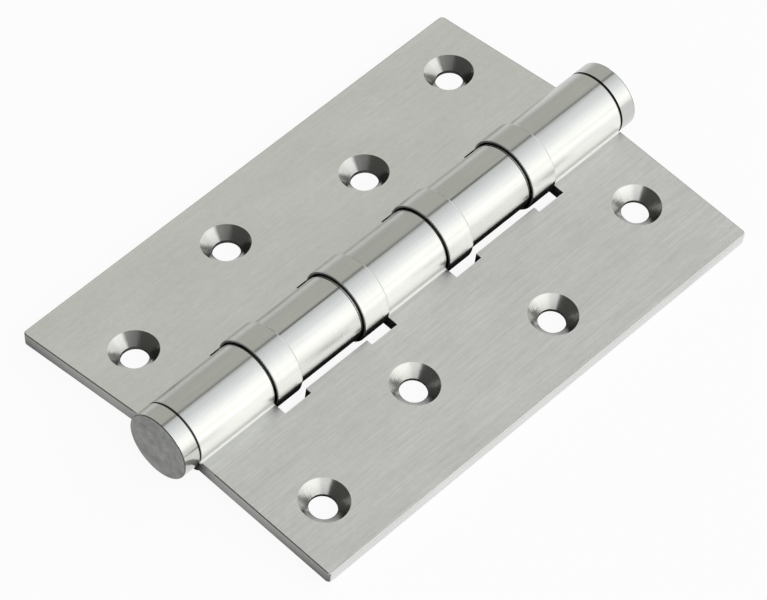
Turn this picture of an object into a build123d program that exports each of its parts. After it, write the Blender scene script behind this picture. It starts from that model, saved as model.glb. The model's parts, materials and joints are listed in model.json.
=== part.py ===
from build123d import *

import os
from math import asin, atan2, cos, hypot, sin, sqrt

# Steel butt hinge with five rolled knuckles and four ball bearings, lying open on a table.
# Millimetres, +Z up. The origin is on the table, under the middle of the pin. The pin runs along Y
# with its head at +Y. The three-knuckle frame leaf is on +X and the two-knuckle door leaf on -X.
# The bearing covers and the outer edges of both leaves touch the table, so the leaves slope down.

# Leaves, each cut and rolled from one sheet
leaf_length = 100.0
leaf_width = 35.0  # from the pin axis to the outer edge
sheet = 2.5
closed_gap = 2.4  # between the two countersunk faces when the hinge is shut
corner_radius = 0.8
edge_round = 0.25

# Knuckles
knuckle_count = 5
end_knuckle_length = 16.8
bore_radius = 3.7
seam_gap = 0.05  # between the end of the roll and the face of its leaf
roll_end_round = 0.3
knuckle_edge_round = 0.15
swage_radius = 2.0  # hollow on the back, where the sheet turns into the roll

# Screw holes, staggered in two rows
hole_count = 4  # in each leaf
hole_spacing = 27.0
outer_row_inset = 10.5  # from the leaf's outer edge
inner_row_inset = 16.3
screw_hole_radius = 2.4
countersink_radius = 4.3
countersink_angle = 90.0

# Ball bearings, one in each gap between knuckles
cover_wall = 0.4
cover_shoulder = 0.4
cover_rim_round = 0.15
cover_rim_gap = 0.2  # from the rim to the knuckle that it hangs over
ball_radius = 0.95
ball_count = 8
ball_clearance = 0.03
groove_depth = 0.35
lower_race_thickness = 2.1
upper_race_thickness = 2.1
race_bore_clearance = 0.1  # around the pin
upper_race_clearance = 0.03  # inside the cover
lower_race_clearance = 0.25  # inside the cover
cage_thickness = 0.7
cage_clearance = 0.15  # to the races' bore and to the cover
cage_rail = 0.2  # metal left beside each pocket
pocket_clearance = 0.05
end_play = 0.1  # the door leaf has slid this far towards -Y, onto bearings 1 and 3

# Pin and its two round caps
pin_clearance = 0.05
cap_reach = 3.6  # how far each cap stands beyond the leaves
head_gap = 0.4  # from the pin's head to the highest knuckle
plug_gap = 0.2  # from the bottom cap to the lowest knuckle
cap_edge_round = 0.2
plug_stem_length = 5.0
plug_clearance = 0.02
pin_end_chamfer = 0.5
pin_end_gap = 0.5  # from the pin's lower end to the stem of the bottom cap

# Cut-outs that let the leaves turn past each other
knuckle_clearance = 1.3
bearing_clearance = 1.8
cut_margin = 1.0  # how far a cut runs past the metal that it removes

# Worked out from the sizes above
half_length = leaf_length / 2
knuckle_radius = bore_radius + sheet
pin_radius = bore_radius - pin_clearance
face_drop = closed_gap / 2  # from the pin axis down to the countersunk face
back_drop = face_drop + sheet
race_bore = pin_radius + race_bore_clearance
ball_circle = race_bore + cage_clearance + cage_rail + pocket_clearance + ball_radius
cover_bore = 2 * ball_circle - race_bore
cover_radius = cover_bore + cover_wall
groove_radius = ball_radius + ball_clearance
race_gap = 2 * (groove_radius - groove_depth)
bearing_height = lower_race_thickness + race_gap + upper_race_thickness + cover_wall
gap_count = knuckle_count - 1
gap_length = bearing_height + end_play
middle_knuckles_length = leaf_length - 2 * end_knuckle_length - gap_count * gap_length
middle_knuckle_length = middle_knuckles_length / (knuckle_count - 2)

# The slope that puts the bearing covers and the rounded outer edges on the table together
axis_height = cover_radius
edge_reach = leaf_width - edge_round
edge_drop = back_drop - edge_round
slope = asin((axis_height - edge_round) / hypot(edge_reach, edge_drop)) - atan2(edge_drop, edge_reach)

pin_axis = Axis((0, 0, axis_height), (0, 1, 0))
axial_plane = Plane.XY.offset(axis_height)


def cross_plane(y):
    """Plane across the pin at y."""
    return Plane((0, y, axis_height), x_dir=(1, 0, 0), z_dir=(0, 1, 0))


def leaf_plane(side, slide):
    """Plane through the pin axis, level with the leaf on +X (side 1) or -X (side -1), facing up."""
    outward = (side * cos(slope), 0, -sin(slope))
    return Plane((0, slide, axis_height), x_dir=outward, z_dir=(side * sin(slope), 0, cos(slope)))


def knuckle_ends():
    """Lower and upper end of each knuckle along Y, as they stand on their own leaf."""
    ends = []
    start = -half_length
    for number in range(knuckle_count):
        is_end = number in (0, knuckle_count - 1)
        length = end_knuckle_length if is_end else middle_knuckle_length
        ends.append((start, start + length))
        start += length + gap_length
    return ends


def cut_spans(own):
    """Each cut-out of the leaf with the knuckles in own, as its start, end and reach from the axis."""
    ends = knuckle_ends()
    spans = []
    for number, (low, high) in enumerate(ends):
        if number not in own:
            low -= cut_margin if number == 0 else 0
            high += cut_margin if number == knuckle_count - 1 else 0
            spans.append((low, high, knuckle_radius + knuckle_clearance))
    for below, above in zip(ends, ends[1:]):
        spans.append((below[1], above[0], cover_radius + bearing_clearance))
    return spans


def save(builder, name):
    """Label one finished piece and write its file."""
    builder.part.label = name
    export_step(builder.part, f"parts/{name}.step")


def make_leaf(name, side, own, slide=0.0):
    """One leaf with its rolled knuckles, whose numbers are in own, counted from 0 at -Y."""
    middle = leaf_plane(side, slide)
    face = middle.offset(-face_drop)
    far_end = Plane(middle.origin + middle.y_dir * half_length, x_dir=middle.x_dir, z_dir=-middle.y_dir)

    # The hollow touches the back of the sheet at bend_x and the roll on the line of centres
    centre_reach = knuckle_radius + swage_radius
    centre_drop = back_drop + swage_radius
    bend_x = sqrt(centre_reach**2 - centre_drop**2)
    roll_start = (bend_x * knuckle_radius / centre_reach, -centre_drop * knuckle_radius / centre_reach)
    roll_drop = face_drop - seam_gap
    roll_tip = (sqrt(knuckle_radius**2 - roll_drop**2), -roll_drop)
    roll_heel = (sqrt(bore_radius**2 - roll_drop**2), -roll_drop)
    face_heel = (sqrt(bore_radius**2 - face_drop**2), -face_drop)

    with BuildPart(face) as leaf:
        with BuildSketch(far_end) as section:
            with BuildLine():
                Polyline(face_heel, (leaf_width, -face_drop), (leaf_width, -back_drop), (bend_x, -back_drop))
                RadiusArc((bend_x, -back_drop), roll_start, swage_radius)
                ThreePointArc(roll_start, (-knuckle_radius, 0), roll_tip)
                Line(roll_tip, roll_heel)
                ThreePointArc(roll_heel, (-bore_radius, 0), face_heel)
            make_face()
            fillet(section.vertices().sort_by_distance(roll_tip)[0], roll_end_round)
        extrude(amount=leaf_length)

        # Rounded outer corners, then the broken edges of both faces
        fillet(leaf.edges().filter_by(Axis(middle.origin, middle.z_dir)), corner_radius)
        outer = leaf.edges().filter_by(lambda e: middle.to_local_coords(e.center()).X > knuckle_radius)
        fillet(outer.filter_by(lambda e: is_rim(e, middle)), edge_round)

        # Room for the other leaf's knuckles and for the bearings
        with BuildSketch(middle):
            for low, high, reach in cut_spans(own):
                with Locations(((reach - knuckle_radius - cut_margin) / 2, side * (low + high) / 2)):
                    Rectangle(reach + knuckle_radius + cut_margin, high - low)
        extrude(amount=knuckle_radius + cut_margin, both=True, mode=Mode.SUBTRACT)

        # The knuckles' ends between the leaf's own two ends
        rolls = leaf.edges().filter_by(GeomType.CIRCLE).filter_by(
            lambda e: abs(e.radius - knuckle_radius) < 0.001 and abs(e.center().Y) < half_length - sheet
        )
        fillet(rolls, knuckle_edge_round)

        for number in range(hole_count):
            inset = inner_row_inset if number % 2 else outer_row_inset
            with Locations((leaf_width - inset, (number - (hole_count - 1) / 2) * hole_spacing)):
                CounterSinkHole(
                    screw_hole_radius, countersink_radius, counter_sink_angle=countersink_angle
                )
    save(leaf, name)


def is_rim(edge, middle):
    """Whether an edge lies in one of the leaf's two faces."""
    drop = -middle.to_local_coords(edge.center()).Z
    return min(abs(drop - face_drop), abs(drop - back_drop)) < 0.001


def make_pin():
    """Pin with its round head, pressed into the frame leaf."""
    low = plug_stem_length - half_length - plug_gap + pin_end_gap
    head_start = half_length + head_gap
    with BuildPart() as pin:
        with BuildSketch(axial_plane):
            with Locations((0, low)):
                Rectangle(pin_radius, head_start - low, align=(Align.MIN, Align.MIN))
            with Locations((0, head_start)):
                Rectangle(knuckle_radius, cap_reach - head_gap, align=(Align.MIN, Align.MIN))
        revolve(axis=pin_axis)
        fillet(pin.edges().sort_by(Axis.Y)[-1], cap_edge_round)
        chamfer(pin.edges().sort_by(Axis.Y)[0], pin_end_chamfer)
    save(pin, "hinge_pin")


def make_bottom_cap():
    """Cap that looks like the pin's head, with a stem pressed into the lowest knuckle."""
    top = -half_length - plug_gap
    with BuildPart() as cap:
        with BuildSketch(axial_plane):
            with Locations((0, top)):
                Rectangle(knuckle_radius, cap_reach - plug_gap, align=(Align.MIN, Align.MAX))
                Rectangle(bore_radius - plug_clearance, plug_stem_length, align=(Align.MIN, Align.MIN))
        revolve(axis=pin_axis)
        fillet(cap.edges().sort_by(Axis.Y)[0], cap_edge_round)
    save(cap, "bottom_cap")


def make_cover(number, top):
    """Cup over one bearing. Its closed end lies against the knuckle above, at y = top."""
    rim = top - bearing_height + cover_rim_gap
    with BuildPart() as cover:
        with BuildSketch(axial_plane) as cup:
            with Locations((race_bore, top)):
                Rectangle(cover_radius - race_bore, top - rim, align=(Align.MIN, Align.MAX))
            with Locations((race_bore, rim)):
                Rectangle(cover_bore - race_bore, top - cover_wall - rim, align=(Align.MIN, Align.MIN),
                          mode=Mode.SUBTRACT)
            fillet(cup.vertices().group_by(Axis.X)[-1].sort_by(Axis.Y)[-1], cover_shoulder)
            fillet(cup.vertices().group_by(Axis.X)[-1].sort_by(Axis.Y)[0], cover_rim_round)
        revolve(axis=pin_axis)
    save(cover, f"bearing_cover_{number}")


def make_race(name, number, face, back, outer_radius):
    """Washer with a groove for the balls in its face. Its back is at y = back."""
    towards_balls = race_gap / 2 if face > back else -race_gap / 2
    with BuildPart() as race:
        with BuildSketch(axial_plane):
            with Locations((race_bore, min(face, back))):
                Rectangle(outer_radius - race_bore, abs(face - back), align=(Align.MIN, Align.MIN))
            with Locations((ball_circle, face + towards_balls)):
                Circle(groove_radius, mode=Mode.SUBTRACT)
        revolve(axis=pin_axis)
    save(race, f"{name}_{number}")


def make_cage(number, y):
    """Flat ring with a pocket for each ball."""
    with BuildPart() as cage:
        with BuildSketch(cross_plane(y)):
            Circle(cover_bore - cage_clearance)
            Circle(race_bore + cage_clearance, mode=Mode.SUBTRACT)
            with PolarLocations(ball_circle, ball_count):
                Circle(ball_radius + pocket_clearance, mode=Mode.SUBTRACT)
        extrude(amount=cage_thickness / 2, both=True)
    save(cage, f"ball_cage_{number}")


def make_balls(number, y):
    """The balls of one bearing."""
    with BuildPart(cross_plane(y)) as balls:
        with PolarLocations(ball_circle, ball_count):
            Sphere(ball_radius)
    save(balls, f"bearing_balls_{number}")


def make_bearing(number, below, above):
    """Bearing between two knuckle faces, at y = below and y = above."""
    lower_face = below + lower_race_thickness
    upper_back = above - cover_wall
    upper_face = upper_back - upper_race_thickness
    ball_line = (lower_face + upper_face) / 2
    make_cover(number, above)
    make_race("upper_race", number, upper_face, upper_back, cover_bore - upper_race_clearance)
    make_race("lower_race", number, lower_face, below, cover_bore - lower_race_clearance)
    make_cage(number, ball_line)
    make_balls(number, ball_line)


os.makedirs("parts", exist_ok=True)
frame_knuckles = range(0, knuckle_count, 2)
door_knuckles = range(1, knuckle_count, 2)
make_leaf("frame_leaf", 1, frame_knuckles)
make_leaf("door_leaf", -1, door_knuckles, slide=-end_play)
make_pin()
make_bottom_cap()

ends = knuckle_ends()
for number in range(gap_count):
    below = ends[number][1]
    above = ends[number + 1][0]
    if number in door_knuckles:
        below -= end_play
    else:
        above -= end_play
    make_bearing(number + 1, below, above)
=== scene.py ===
import json
from math import copysign, cos, radians, sin, sqrt

import bpy
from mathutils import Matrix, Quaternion, Vector


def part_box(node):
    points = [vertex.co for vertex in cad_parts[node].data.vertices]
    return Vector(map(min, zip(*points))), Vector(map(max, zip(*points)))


# Steel ball bearing hinge lying open on a pale floor. Metres, +Z up, pin along Y.

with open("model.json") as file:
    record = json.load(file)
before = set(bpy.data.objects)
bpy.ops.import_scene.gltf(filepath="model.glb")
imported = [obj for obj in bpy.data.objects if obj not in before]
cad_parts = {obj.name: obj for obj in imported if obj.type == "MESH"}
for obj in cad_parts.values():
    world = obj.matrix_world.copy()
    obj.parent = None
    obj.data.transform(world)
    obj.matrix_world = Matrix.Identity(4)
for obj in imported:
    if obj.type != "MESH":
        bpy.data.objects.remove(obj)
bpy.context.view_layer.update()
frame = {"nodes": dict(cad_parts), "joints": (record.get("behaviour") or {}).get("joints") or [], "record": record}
nodes = frame["nodes"]
mounts = {m["name"]: m for m in frame["record"]["mounts"]}
leaf_joint = next(j for j in frame["joints"] if j["name"] == "leaf_swing")
pin_place = Vector(leaf_joint["pos_m"])
cap_low, cap_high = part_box("bottom_cap")
knuckle_radius = (cap_high.z - cap_low.z) / 2
half_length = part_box("frame_leaf")[1].y  # of the barrel, without head and cap
face_drop = 0.0012  # from the pin axis down to the faces
across_pin = (1.0, 0.0, 1.0)

# The camera of the photograph
image_width = 767
focal_pixels = 4887.5
camera_distance = 0.805
camera_azimuth = radians(41.22)
camera_elevation = radians(50.33)
camera_roll = radians(3.0)
camera_aim = Vector((0.0007, -0.0019, 0.0))
sensor_width = 36.0
nearest_seen = 0.01

# Metal colours, as seen under white light, with painted highlights and painted shade among them
# The two leaves are the same steel: the door leaf's faces are set lighter than the frame leaf's as painted light
frame_face_colour = (0.735, 0.735, 0.713)
door_face_colour = (0.81, 0.812, 0.79)
barrel_colour = (0.60, 0.605, 0.585)
# Painted highlight low on the +X side of the barrel
painted_highlight_colour = (0.88, 0.885, 0.86)
cover_highlight_share = 0.8  # share of the painted highlight colour low on the +X side of the covers
sink_colour = (0.56, 0.56, 0.54)
shaded_colour = (0.16, 0.16, 0.15)
# Cut edges: darker partly as their own matte steel and partly as painted shade
edge_colour = (0.38, 0.385, 0.37)
# Painted highlight on each leaf's outer cut edge
outer_edge_highlight_colour = (0.76, 0.77, 0.76)
# Painted shade on the rounded knuckle ends and in the gaps by the ends
gap_shade_colour = (0.1, 0.1, 0.095)
# Painted highlight line where a roll ends on its leaf
seam_highlight_colour = (0.9, 0.9, 0.87)
seam_shadow = 0.22  # share of the black shade colour painted as shadow beside a seam
# End faces: dark partly as their own turned steel and partly as painted shade
cap_end_colour = (0.27, 0.275, 0.265)
# Painted shade, black, in crevices, gaps and under the barrel, from ambient occlusion
painted_shade_colour = (0.012, 0.012, 0.011)
race_colour = (0.5, 0.5, 0.49)
ball_colour = (0.62, 0.62, 0.61)
brass_colour = (0.72, 0.52, 0.24)

# Cells of noise per metre along X, Y and Z, and the tones laid out from each
fine_cells = (7000.0, 170.0, 7000.0)
coarse_cells = (2300.0, 55.0, 2300.0)
speckle_cells = (1500.0, 900.0, 1500.0)
cloud_cells = (110.0, 70.0, 110.0)
chatter_cells = (1100.0, 1100.0, 1100.0)
ring_cells = (40.0, 5000.0, 40.0)
streak_cells = (1500.0, 40.0, 1500.0)
mottle_cells = (450.0, 450.0, 450.0)
mark_cells = (900.0, 900.0, 900.0)
fine_share = 0.6  # of the fine noise in the grain
grain_tone = (0.93, 1.07)
worn_tone = (0.92, 1.08)
ring_tone = (0.96, 1.04)
mottle_tone = (0.1, 1.8)

# Roughness
face_rough = (0.36, 0.5)
sink_rough = (0.14, 0.24)
edge_rough = (0.4, 0.6)
barrel_rough_span = 0.06
side_rough = 0.32  # of the barrel, on its sides
turned_rough = (0.13, 0.19)
dull_rough = 0.9
inner_rough_shares = (0.7, 1.3)  # of each inner metal's own roughness

# Relief
face_relief = 0.12
polished_relief = 0.015
chatter_relief = 0.3
relief_depth = 0.0001
ring_relief = 0.15
turned_strength = 0.15
turned_depth = 0.00006

# Where a step rises from 0 to 1: metres from the pin axis
face_range = (knuckle_radius + 0.00003, knuckle_radius + 0.00012)
slot_range = (0.0092, 0.0096)
outer_range = (0.03, 0.031)
# Metres along the pin, by the ends of the leaves and in the gaps beside the caps
leaf_end_range = (half_length - 0.0002, half_length - 0.00005)
cap_gap_range = (half_length + 0.00025, half_length + 0.0004)
# Metres from a seam
seam_line_range = (0.0003, 0.00042)
seam_shadow_range = (0.0004, 0.002)
# Parts of a normal
flat_range = (0.93, 0.985)
upright_range = (0.15, 0.35)
cut_end_range = (0.8, 0.95)
turned_end_range = (0.85, 0.97)
rounded_range = (0.1, 0.3)
outer_edge_range = (0.75, 0.95)
low_range = (0.5, 0.62)
near_range = (0.3, 0.5)
far_range = (-0.5, -0.2)
under_range = (-0.08, 0.04)
away_range = (0.0, 0.3)
back_face_range = (-0.75, -0.5)
lit_span = 0.06  # to each side of a countersink's limit

# Ambient occlusion, from black to clear: elsewhere, in deep places, and under the barrel
crevice_reach = 0.008
open_shade = (0.12, 0.42)
deep_shade = (0.25, 0.8)
under_shade = (0.7, 1.0)

# Surroundings, with colours by angle in degrees from +X over the top to -X
half_turn = 180.0
wall_and_ceiling = (
    (0.0, (1.27, 1.26, 1.2)),
    (13.0, (1.6, 1.6, 1.54)),
    (24.0, (1.7, 1.7, 1.67)),
    (44.0, (1.45, 1.46, 1.46)),
    (63.0, (1.15, 1.17, 1.2)),
    (83.0, (0.93, 0.96, 0.99)),
    (97.0, (0.8, 0.82, 0.82)),
    (99.5, (0.2, 0.2, 0.19)),
    (103.5, (0.2, 0.2, 0.19)),
    (107.0, (0.6, 0.605, 0.56)),
    (160.0, (0.6, 0.605, 0.56)),
    (172.0, (0.57, 0.575, 0.55)),
    (half_turn, (0.54, 0.545, 0.53)),
)
front_reach = (-0.5, -0.2)
front_rise = (0.3, 0.6)
front_low = 0.5
front_high = 0.85
back_reach = (0.55, 0.85)
back_colour = (1.25, 1.25, 1.23)
back_side_reach = (-0.45, -0.1)
dim_colour = (0.3, 0.3, 0.29)
corner_direction = (-0.62, -0.78, 0.0)
corner_reach = (0.35, 0.58)
corner_colour = (0.33, 0.33, 0.32)
floor_size = 6.0
floor_lift = 0.9
floor_albedo = 0.95


def add(tree, kind, values=(), **settings):
    """A new node. Each item of values is an input's name or number with a value or a socket."""
    node = tree.nodes.new("ShaderNode" + kind)
    for key, value in settings.items():
        setattr(node, key, value)
    for key, value in dict(values).items():
        if isinstance(value, bpy.types.NodeSocket):
            tree.links.new(value, node.inputs[key])
        else:
            node.inputs[key].default_value = value
    return node


def math(tree, operation, *values, clamp=False):
    node = add(tree, "Math", enumerate(values), operation=operation, use_clamp=clamp)
    return node.outputs[0]


def product(tree, first, second):
    return math(tree, "MULTIPLY", first, second)


def larger(tree, first, second):
    return math(tree, "MAXIMUM", first, second)


def inverse(tree, value):
    """1 where value is 0, and 0 where it is 1."""
    return math(tree, "SUBTRACT", 1.0, value)


def vector(tree, operation, *values):
    node = add(tree, "VectorMath", enumerate(values), operation=operation)
    return node.outputs["Value" if operation in ("DOT_PRODUCT", "LENGTH") else "Vector"]


def parts_of(tree, value):
    """The X, Y and Z of a vector."""
    return add(tree, "SeparateXYZ", {0: value}).outputs


def size_of(tree, value):
    return math(tree, "ABSOLUTE", value)


def from_line(tree, place, line_place):
    """Distance from a line along Y through line_place."""
    offset = vector(tree, "SUBTRACT", place, line_place)
    return vector(tree, "LENGTH", vector(tree, "MULTIPLY", offset, across_pin))


def step(tree, value, low, high):
    """0 below low, 1 above high and a smooth slope between them."""
    ranges = {"Value": value, "From Min": low, "From Max": high}
    return add(tree, "MapRange", ranges, interpolation_type="SMOOTHSTEP").outputs[0]


def spread(tree, value, low, high):
    """A factor of 0 to 1 laid out from low to high."""
    return add(tree, "MapRange", {"Value": value, "To Min": low, "To Max": high}).outputs[0]


def noise(tree, place, cells, detail=3.0, roughness=0.55):
    """Noise with its own scale along each axis."""
    stretched = vector(tree, "MULTIPLY", place, cells)
    values = {"Vector": stretched, "Scale": 1.0, "Detail": detail, "Roughness": roughness}
    return add(tree, "TexNoise", values).outputs[0]


def mix(tree, factor, first, second):
    """Blend of two numbers."""
    values = {0: factor, 2: first, 3: second}
    return add(tree, "Mix", values, data_type="FLOAT").outputs[0]


def blend(tree, factor, first, second, how="MIX"):
    """Blend of two colours."""
    node = add(tree, "Mix", {0: factor}, data_type="RGBA", blend_type=how)
    for socket, value in ((node.inputs[6], first), (node.inputs[7], second)):
        if isinstance(value, bpy.types.NodeSocket):
            tree.links.new(value, socket)
        else:
            socket.default_value = (*value, 1.0)
    return node.outputs[2]


def grey(tree, value):
    """A number as a grey colour."""
    return add(tree, "CombineColor", {0: value, 1: value, 2: value}).outputs[0]


def toned(tree, colour, tone):
    """A colour times a number."""
    return blend(tree, 1.0, colour, grey(tree, tone), "MULTIPLY")


def new_material(name):
    material = bpy.data.materials.new(name)
    material.use_nodes = True
    return material, material.node_tree, material.node_tree.nodes["Principled BSDF"]


def link(tree, socket, shader, name):
    tree.links.new(socket, shader.inputs[name])


def relief(tree, shader, height, strength, depth):
    bump = add(tree, "Bump", {"Height": height, "Strength": strength, "Distance": depth})
    link(tree, bump.outputs[0], shader, "Normal")


def crevice(tree, shader, colour, rough, low, high, spared):
    """Colour and roughness, with painted shade in dull black where other metal is close and spared isn't 1."""
    shade = add(tree, "AmbientOcclusion", {"Distance": crevice_reach}, samples=8).outputs["AO"]
    clear = larger(tree, step(tree, shade, low, high), spared)
    link(tree, blend(tree, clear, painted_shade_colour, colour), shader, "Base Color")
    link(tree, mix(tree, clear, dull_rough, rough), shader, "Roughness")
    link(tree, grey(tree, clear), shader, "Specular Tint")


def near_side(tree, normal_parts):
    """1 low on the +X side of the barrel."""
    low = inverse(tree, step(tree, normal_parts[2], *low_range))
    return product(tree, low, step(tree, normal_parts[0], *near_range))


def far_side(tree, normal_parts):
    """1 on the -X side of the barrel."""
    return inverse(tree, step(tree, normal_parts[0], *far_range))


def leaf_steel(leaf, face_colour, streaks, highlight_share, barrel_rough, lit_angle, lit_width):
    """Brushed faces, polished knuckles and countersinks, dull cut edges.

    Each countersink is painted bright within lit_width of the side at lit_angle, and painted shade elsewhere.
    """
    material, tree, shader = new_material(leaf + "_steel")
    hole = mounts[leaf + "_screw_hole_1"]
    up = Vector(hole["axis"])
    side = copysign(1.0, hole["pos_m"][0] - pin_place.x)
    outward = side * Vector((up.z, 0.0, -up.x))
    seam_reach = sqrt(knuckle_radius**2 - face_drop**2)
    seam_place = pin_place - up * face_drop + outward * seam_reach

    # Where the surface is: on the roll or the leaf, and which way it faces
    coords = add(tree, "TexCoord")
    place, normal = coords.outputs["Object"], coords.outputs["Normal"]
    normal_parts = parts_of(tree, normal)
    radius = from_line(tree, place, pin_place)
    on_leaf = step(tree, radius, *face_range)
    on_barrel = inverse(tree, on_leaf)
    by_barrel = inverse(tree, step(tree, radius, *slot_range))
    facing = vector(tree, "DOT_PRODUCT", normal, up)
    tilt = size_of(tree, facing)
    sunk = product(tree, on_leaf, inverse(tree, step(tree, tilt, *flat_range)))
    upright = inverse(tree, step(tree, tilt, *upright_range))
    end_share = size_of(tree, normal_parts[1])
    edges = larger(tree, product(tree, upright, on_leaf), step(tree, end_share, *cut_end_range))
    edges = larger(tree, edges, product(tree, sunk, by_barrel))
    sideways = size_of(tree, vector(tree, "DOT_PRODUCT", normal, outward))
    outer_edge = step(tree, sideways, *outer_edge_range)
    outer_edge = product(tree, outer_edge, step(tree, radius, *outer_range))
    polished = mix(tree, on_leaf, 1.0, sunk)
    lower_side = near_side(tree, normal_parts)

    # Grain along the pin, fine and coarse, with speckles and under soft clouds
    fine = noise(tree, place, fine_cells, detail=2.0)
    coarse = noise(tree, place, coarse_cells)
    speckle = spread(tree, noise(tree, place, speckle_cells), *grain_tone)
    worn = spread(tree, noise(tree, place, cloud_cells), *worn_tone)
    fine_part = product(tree, fine, fine_share)
    grain = math(tree, "ADD", fine_part, product(tree, coarse, 1.0 - fine_share))
    face_grain = product(tree, spread(tree, grain, 1.0 - streaks, 1.0 + streaks), speckle)
    grains = mix(tree, polished, face_grain, spread(tree, coarse, *grain_tone))

    # Colour of the barrel with a painted highlight low on its +X side, the leaf, its edges with a painted
    # highlight on the outer ones, and its countersinks with their 45 degree walls, painted lit on one side and
    # painted shade elsewhere
    lit_side = (cos(lit_angle), sin(lit_angle), 0.0)
    lit_limit = -cos(lit_width) * sqrt(0.5)
    turned_inward = vector(tree, "DOT_PRODUCT", normal, lit_side)
    shaded = step(tree, turned_inward, lit_limit - lit_span, lit_limit + lit_span)
    sink = blend(tree, shaded, sink_colour, shaded_colour)
    gleam = product(tree, lower_side, highlight_share)
    barrel = blend(tree, gleam, barrel_colour, painted_highlight_colour)
    colour = blend(tree, on_leaf, barrel, blend(tree, sunk, face_colour, sink))
    edge = blend(tree, outer_edge, edge_colour, outer_edge_highlight_colour)
    colour = blend(tree, edges, colour, edge)
    colour = toned(tree, colour, product(tree, grains, worn))

    rough = spread(tree, coarse, barrel_rough, barrel_rough + barrel_rough_span)
    rough = mix(tree, lower_side, rough, side_rough)
    rough = mix(tree, far_side(tree, normal_parts), rough, side_rough)
    rough = mix(tree, on_leaf, rough, spread(tree, coarse, *sink_rough))
    rough = mix(tree, polished, spread(tree, grain, *face_rough), rough)
    rough = mix(tree, edges, rough, spread(tree, fine, *edge_rough))

    # Painted shade on the rounded ends of the knuckles and on the barrel by the ends of the leaves
    along = size_of(tree, parts_of(tree, place)[1])
    ended = step(tree, end_share, *rounded_range)
    ended = larger(tree, ended, step(tree, along, *leaf_end_range))
    colour = blend(tree, product(tree, ended, on_barrel), colour, gap_shade_colour)

    # Painted shade in the gaps, most of all in deep places and where the barrel turns under
    away = product(tree, normal_parts[0], -side)
    under = inverse(tree, step(tree, normal_parts[2], *under_range))
    under = product(tree, under, step(tree, away, *away_range))
    under = product(tree, under, on_barrel)
    deep = larger(tree, larger(tree, product(tree, edges, by_barrel), sunk), under)
    deep = product(tree, deep, inverse(tree, outer_edge))
    spared = inverse(tree, step(tree, facing, *back_face_range))
    low, high = (
        mix(tree, under, mix(tree, deep, open_limit, deep_limit), under_limit)
        for open_limit, deep_limit, under_limit in zip(open_shade, deep_shade, under_shade)
    )

    # A painted highlight line where the end of a roll meets its leaf, between two painted soft shadows
    seam_distance = from_line(tree, place, seam_place)
    at_seam = inverse(tree, step(tree, seam_distance, *seam_line_range))
    by_seam = inverse(tree, step(tree, seam_distance, *seam_shadow_range))
    colour = blend(tree, product(tree, by_seam, seam_shadow), colour, painted_shade_colour)
    colour = blend(tree, at_seam, colour, seam_highlight_colour)
    rough = mix(tree, at_seam, rough, dull_rough)
    crevice(tree, shader, colour, rough, low, high, larger(tree, spared, at_seam))
    link(tree, inverse(tree, at_seam), shader, "Metallic")

    # Relief of the grain, and chatter marks in the countersinks
    chatter = product(tree, noise(tree, place, chatter_cells), sunk)
    height = product(tree, grain, mix(tree, polished, face_relief, polished_relief))
    height = math(tree, "ADD", height, product(tree, chatter, chatter_relief))
    relief(tree, shader, height, 1.0, relief_depth)
    return material


def round_steel(name, in_slot):
    """Turned and polished steel, dull and mottled on the end faces.

    in_slot is 1 for the covers, which run in the leaves' slots, and 0 for the pin and cap.
    """
    material, tree, shader = new_material(name)
    coords = add(tree, "TexCoord")
    place = coords.outputs["Object"]
    normal_parts = parts_of(tree, coords.outputs["Normal"])
    end_share = size_of(tree, normal_parts[1])
    end_face = step(tree, end_share, *turned_end_range)
    lower_side = product(tree, near_side(tree, normal_parts), in_slot)
    rings = noise(tree, place, ring_cells, detail=2.0)
    streaks = noise(tree, place, streak_cells)
    mottle = noise(tree, place, mottle_cells, detail=6.0, roughness=0.7)

    # Painted shade on the rims beside the end knuckles and on rounded edges, for the pin and cap only
    along = size_of(tree, parts_of(tree, place)[1])
    by_gap = inverse(tree, step(tree, along, *cap_gap_range))
    ended = larger(tree, step(tree, end_share, *rounded_range), by_gap)
    ended = product(tree, ended, 1.0 - in_slot)

    # Painted highlight low on the +X side of the covers
    gleam = product(tree, lower_side, cover_highlight_share)
    turned = product(tree, spread(tree, rings, *ring_tone), spread(tree, streaks, *ring_tone))
    side = toned(tree, blend(tree, gleam, barrel_colour, painted_highlight_colour), turned)
    side = blend(tree, ended, side, gap_shade_colour)
    # End faces dark and mottled, partly painted shade
    end = toned(tree, cap_end_colour, spread(tree, mottle, *mottle_tone))
    colour = blend(tree, end_face, side, end)
    rough = mix(tree, lower_side, spread(tree, streaks, *turned_rough), side_rough)
    rough = mix(tree, far_side(tree, normal_parts), rough, side_rough)
    rough = mix(tree, end_face, rough, spread(tree, mottle, *edge_rough))

    # Painted shade from ambient occlusion, most of all where the covers turn under
    under = inverse(tree, step(tree, normal_parts[2], *under_range))
    under = product(tree, under, in_slot)
    spared = inverse(tree, step(tree, normal_parts[2], *back_face_range))
    low, high = (
        mix(tree, under, open_limit, under_limit)
        for open_limit, under_limit in zip(open_shade, under_shade)
    )
    crevice(tree, shader, colour, rough, low, high, spared)
    height = mix(tree, end_face, product(tree, rings, ring_relief), mottle)
    relief(tree, shader, height, turned_strength, turned_depth)
    shader.inputs["Metallic"].default_value = 1.0
    return material


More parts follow.
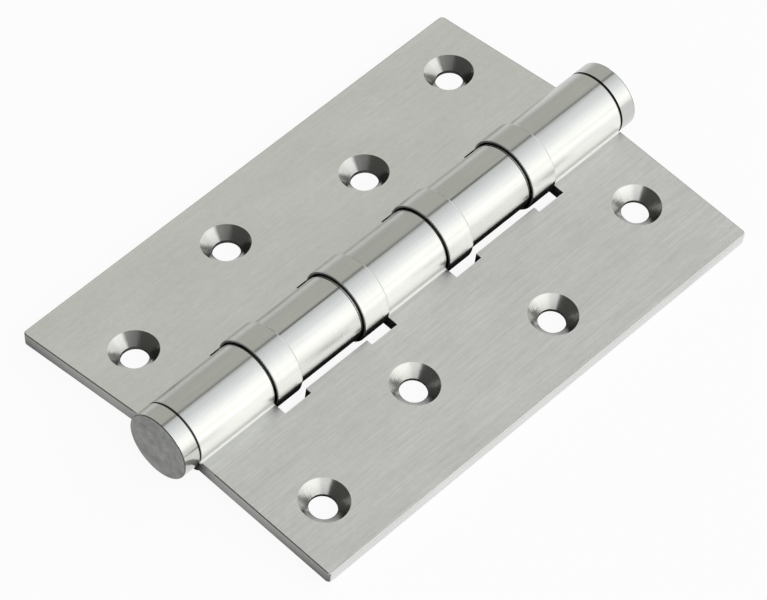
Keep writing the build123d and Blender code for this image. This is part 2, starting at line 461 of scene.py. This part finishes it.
def inner_metal(name, colour, roughness, wear):
    """Ground metal of the parts inside the bearings."""
    material, tree, shader = new_material(name)
    place = add(tree, "TexCoord").outputs["Object"]
    marks = noise(tree, place, mark_cells, detail=4.0)
    tone = spread(tree, marks, 1.0 - wear, 1.0 + wear)
    link(tree, toned(tree, colour, tone), shader, "Base Color")
    low, high = (roughness * share for share in inner_rough_shares)
    link(tree, spread(tree, marks, low, high), shader, "Roughness")
    shader.inputs["Metallic"].default_value = 1.0
    return material


def dress(part_name, material):
    """The material on each CAD node whose name has part_name in it."""
    for name, node in nodes.items():
        if part_name in name:
            slots = node.data.materials
            slots.clear()
            slots.append(material)


def make_floor():
    """Pale floor that keeps a soft shadow and shows nearly white."""
    bpy.ops.mesh.primitive_plane_add(size=floor_size)
    floor = bpy.context.object
    floor.name = "floor"
    material, tree, shader = new_material("floor_paper")
    shader.inputs["Base Color"].default_value = (floor_albedo, floor_albedo, floor_albedo, 1.0)
    shader.inputs["Roughness"].default_value = 1.0
    shader.inputs["Specular IOR Level"].default_value = 0.0
    rays = add(tree, "LightPath").outputs
    seen = larger(tree, rays["Is Camera Ray"], rays["Is Glossy Ray"])
    seen = larger(tree, seen, rays["Is Transmission Ray"])
    white = add(tree, "Emission", {"Color": (1.0, 1.0, 1.0, 1.0), "Strength": 1.0})
    lifted = product(tree, seen, floor_lift)
    both = add(tree, "MixShader", {0: lifted, 1: shader.outputs[0], 2: white.outputs[0]})
    tree.links.new(both.outputs[0], tree.nodes["Material Output"].inputs["Surface"])
    floor.data.materials.append(material)


def make_studio():
    """A bright wall on +X, a grey ceiling, a bright back and a dim corner at the front left."""
    world = bpy.data.worlds.new("studio")
    bpy.context.scene.world = world
    world.use_nodes = True
    tree = world.node_tree
    aim = add(tree, "TexCoord").outputs["Generated"]
    aim_x, aim_y, aim_z = parts_of(tree, aim)
    angle = math(tree, "ARCTAN2", aim_z, aim_x)
    turn = math(tree, "DIVIDE", angle, radians(half_turn), clamp=True)
    ramp = add(tree, "ValToRGB", {0: turn})
    elements = ramp.color_ramp.elements
    elements[0].position, elements[1].position = 0.0, 1.0
    for degrees, _ in wall_and_ceiling[1:-1]:
        elements.new(degrees / half_turn)
    for element, (_, colour) in zip(elements, wall_and_ceiling):
        element.color = (*colour, 1.0)

    front = inverse(tree, step(tree, aim_y, *front_reach))
    front_level = mix(tree, step(tree, aim_z, *front_rise), front_low, front_high)
    colour = toned(tree, ramp.outputs[0], mix(tree, front, 1.0, front_level))
    back = blend(tree, step(tree, aim_x, *back_side_reach), dim_colour, back_colour)
    colour = blend(tree, step(tree, aim_y, *back_reach), colour, back)
    corner = vector(tree, "DOT_PRODUCT", aim, corner_direction)
    colour = blend(tree, step(tree, corner, *corner_reach), colour, corner_colour)
    tree.links.new(colour, tree.nodes["Background"].inputs["Color"])


def make_camera():
    """The camera at the photograph's viewpoint."""
    camera = bpy.data.objects.new("camera", bpy.data.cameras.new("camera"))
    bpy.context.scene.collection.objects.link(camera)
    back = Vector((
        sin(camera_azimuth) * cos(camera_elevation),
        -cos(camera_azimuth) * cos(camera_elevation),
        sin(camera_elevation),
    ))
    camera.location = camera_aim + camera_distance * back
    camera.rotation_mode = "QUATERNION"
    camera.rotation_quaternion = Quaternion(back, camera_roll) @ back.to_track_quat("Z", "Y")
    camera.data.sensor_width = sensor_width
    camera.data.lens = focal_pixels * sensor_width / image_width
    camera.data.clip_start = nearest_seen
    bpy.context.scene.camera = camera


frame_steel = leaf_steel(
    "frame_leaf",
    frame_face_colour,
    streaks=0.25,
    highlight_share=1.0,
    barrel_rough=0.14,
    lit_angle=radians(184.0),
    lit_width=radians(61.0),
)
door_steel = leaf_steel(
    "door_leaf",
    door_face_colour,
    streaks=0.14,
    highlight_share=0.5,
    barrel_rough=0.08,
    lit_angle=radians(204.0),
    lit_width=radians(50.0),
)
pin_steel = round_steel("pin_steel", in_slot=0.0)
dress("frame_leaf", frame_steel)
dress("door_leaf", door_steel)
dress("hinge_pin", pin_steel)
dress("bottom_cap", pin_steel)
dress("bearing_cover", round_steel("cover_steel", in_slot=1.0))
dress("race", inner_metal("race_steel", race_colour, roughness=0.15, wear=0.08))
dress("bearing_balls", inner_metal("ball_steel", ball_colour, roughness=0.08, wear=0.04))
dress("ball_cage", inner_metal("cage_brass", brass_colour, roughness=0.3, wear=0.1))
make_floor()
make_studio()
make_camera()
bpy.context.scene.view_settings.view_transform = "Standard"
